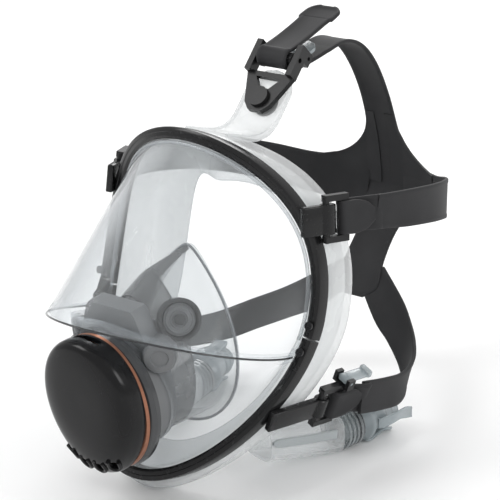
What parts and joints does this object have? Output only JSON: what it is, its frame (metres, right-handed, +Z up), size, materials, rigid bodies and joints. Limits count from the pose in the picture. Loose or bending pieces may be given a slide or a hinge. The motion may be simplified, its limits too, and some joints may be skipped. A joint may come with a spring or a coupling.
{
  "type": "full face respirator",
  "caption": "Full face respirator with a clear conical lens, exhalation unit, silicone seal, air ducts and a rubber head harness.",
  "frame": {"origin": "on the floor below the middle of the whole mask with its harness", "axes": "+Z up, the wearer looks along -Y, +X is to the wearer's left; the mask is symmetric about X = 0"},
  "size_m": [0.1914, 0.3071, 0.2477],
  "materials": {
    "clear_lens": "clear polished polycarbonate",
    "frame_plastic": "semi-gloss moulded black",
    "screw_steel": "turned",
    "clear_silicone": "clear silicone, satin",
    "grey_silicone": "translucent grey silicone",
    "grey_plastic": "satin grey",
    "smoke_plastic": "smoky gloss",
    "copper_finish": "metallic copper paint",
    "cover_plastic": "piano black",
    "valve_rubber": "thin moulded silicone",
    "translucent_plastic": "translucent grey",
    "strap_rubber": "matte moulded rubber"
  },
  "bodies": {
    "mask": {"accent_ring": "copper_finish", "air_arm_left": "clear_silicone", "air_arm_right": "clear_silicone", "arm_collar_left": "smoke_plastic", "arm_collar_right": "smoke_plastic", "connector_left": "translucent_plastic", "connector_right": "translucent_plastic", "duct_insert_left": "grey_plastic", "duct_insert_right": "grey_plastic", "exhalation_seat": "grey_plastic", "face_seal": "clear_silicone", "forehead_peg": "frame_plastic", "frame_lower": "frame_plastic", "frame_screws": "screw_steel", "frame_upper": "frame_plastic", "harness_lower_arm_left": "strap_rubber", "harness_lower_arm_right": "strap_rubber", "harness_spine": "strap_rubber", "harness_temple_arm_left": "strap_rubber", "harness_temple_arm_right": "strap_rubber", "inhalation_seat_left": "grey_plastic", "inhalation_seat_right": "grey_plastic", "nose_cup": "grey_silicone", "port_ring": "smoke_plastic", "valve_housing": "grey_plastic", "visor_lens": "clear_lens", "visor_lens_lower": "clear_lens"},
    "cover": {"exhalation_cover": "cover_plastic"},
    "exhalation_flap": {"exhalation_valve": "valve_rubber"},
    "forehead_clip": {"forehead_buckle": "frame_plastic", "forehead_strap_end": "strap_rubber"},
    "forehead_roll": {"forehead_roller": "frame_plastic"},
    "forehead_release": {"forehead_release_tab": "translucent_plastic"},
    "inhalation_flap_left": {"inhalation_valve_left": "valve_rubber"},
    "temple_buckle_left": {"temple_loop_left": "frame_plastic", "temple_strap_end_left": "strap_rubber"},
    "lower_buckle_left": {"lower_loop_left": "frame_plastic", "lower_strap_end_left": "strap_rubber"},
    "lower_release_left": {"lower_release_tab_left": "translucent_plastic"},
    "latch_left": {"connector_latch_left": "translucent_plastic"},
    "inhalation_flap_right": {"inhalation_valve_right": "valve_rubber"},
    "temple_buckle_right": {"temple_loop_right": "frame_plastic", "temple_strap_end_right": "strap_rubber"},
    "lower_buckle_right": {"lower_loop_right": "frame_plastic", "lower_strap_end_right": "strap_rubber"},
    "lower_release_right": {"lower_release_tab_right": "translucent_plastic"},
    "latch_right": {"connector_latch_right": "translucent_plastic"}
  },
  "joints": [
    {"name": "cover_pull", "type": "slide", "parent": "mask", "child": "cover", "axis": [0, -0.9903, -0.1392], "range_m": [0, 0.012]},
    {"name": "exhalation_valve_lift", "type": "slide", "parent": "mask", "child": "exhalation_flap", "axis": [0, -0.9903, -0.1392], "range_m": [0, 0.0015], "stiffness_N_per_m": 20},
    {"name": "inhalation_valve_lift_left", "type": "slide", "parent": "mask", "child": "inhalation_flap_left", "axis": [0.7629, -0.5822, 0.2811], "range_m": [0, 0.0014], "stiffness_N_per_m": 20},
    {"name": "inhalation_valve_lift_right", "type": "slide", "parent": "mask", "child": "inhalation_flap_right", "axis": [-0.7629, -0.5822, 0.2811], "range_m": [0, 0.0014], "stiffness_N_per_m": 20},
    {"name": "forehead_buckle_swivel", "type": "hinge", "parent": "mask", "child": "forehead_clip", "pos_m": [0, 0.01625, 0.20607], "axis": [0, -0.7507, 0.6606], "range_deg": [-15, 15]},
    {"name": "forehead_roller_spin", "type": "hinge", "parent": "forehead_clip", "child": "forehead_roll", "pos_m": [0, 0.02868, 0.2311], "axis": [1, 0, 0], "continuous": true},
    {"name": "forehead_release_lift", "type": "hinge", "parent": "forehead_clip", "child": "forehead_release", "pos_m": [0, 0.03743, 0.23059], "axis": [1, 0, 0], "range_deg": [0, 8]},
    {"name": "temple_loop_hinge_left", "type": "hinge", "parent": "mask", "child": "temple_buckle_left", "pos_m": [0.07647, -0.02757, 0.15978], "axis": [-0.0812, 0.0635, 0.9947], "range_deg": [-10, 10]},
    {"name": "lower_loop_hinge_left", "type": "hinge", "parent": "mask", "child": "lower_buckle_left", "pos_m": [0.07367, -0.02892, 0.04685], "axis": [0.3397, -0.0275, 0.9401], "range_deg": [-10, 10]},
    {"name": "lower_release_lift_left", "type": "hinge", "parent": "lower_buckle_left", "child": "lower_release_left", "pos_m": [0.08213, -0.01466, 0.06176], "axis": [0.9211, -0.1924, -0.3385], "range_deg": [0, 20]},
    {"name": "temple_loop_hinge_right", "type": "hinge", "parent": "mask", "child": "temple_buckle_right", "pos_m": [-0.07647, -0.02757, 0.15978], "axis": [-0.0812, -0.0635, -0.9947], "range_deg": [-10, 10]},
    {"name": "lower_loop_hinge_right", "type": "hinge", "parent": "mask", "child": "lower_buckle_right", "pos_m": [-0.07367, -0.02892, 0.04685], "axis": [0.3397, 0.0275, -0.9401], "range_deg": [-10, 10]},
    {"name": "lower_release_lift_right", "type": "hinge", "parent": "lower_buckle_right", "child": "lower_release_right", "pos_m": [-0.08213, -0.01466, 0.06176], "axis": [0.9211, 0.1924, 0.3385], "range_deg": [0, 20]},
    {"name": "connector_latch_squeeze_left", "type": "hinge", "parent": "mask", "child": "latch_left", "pos_m": [0.07487, 0.03733, 0.01355], "axis": [-0.0034, -0.0198, 0.9998], "range_deg": [0, 5], "stiffness_Nm_per_rad": 0.2},
    {"name": "connector_latch_squeeze_right", "type": "hinge", "parent": "mask", "child": "latch_right", "pos_m": [-0.07487, 0.03733, 0.01355], "axis": [-0.0034, 0.0198, -0.9998], "range_deg": [0, 5], "stiffness_Nm_per_rad": 0.2}
  ]
}
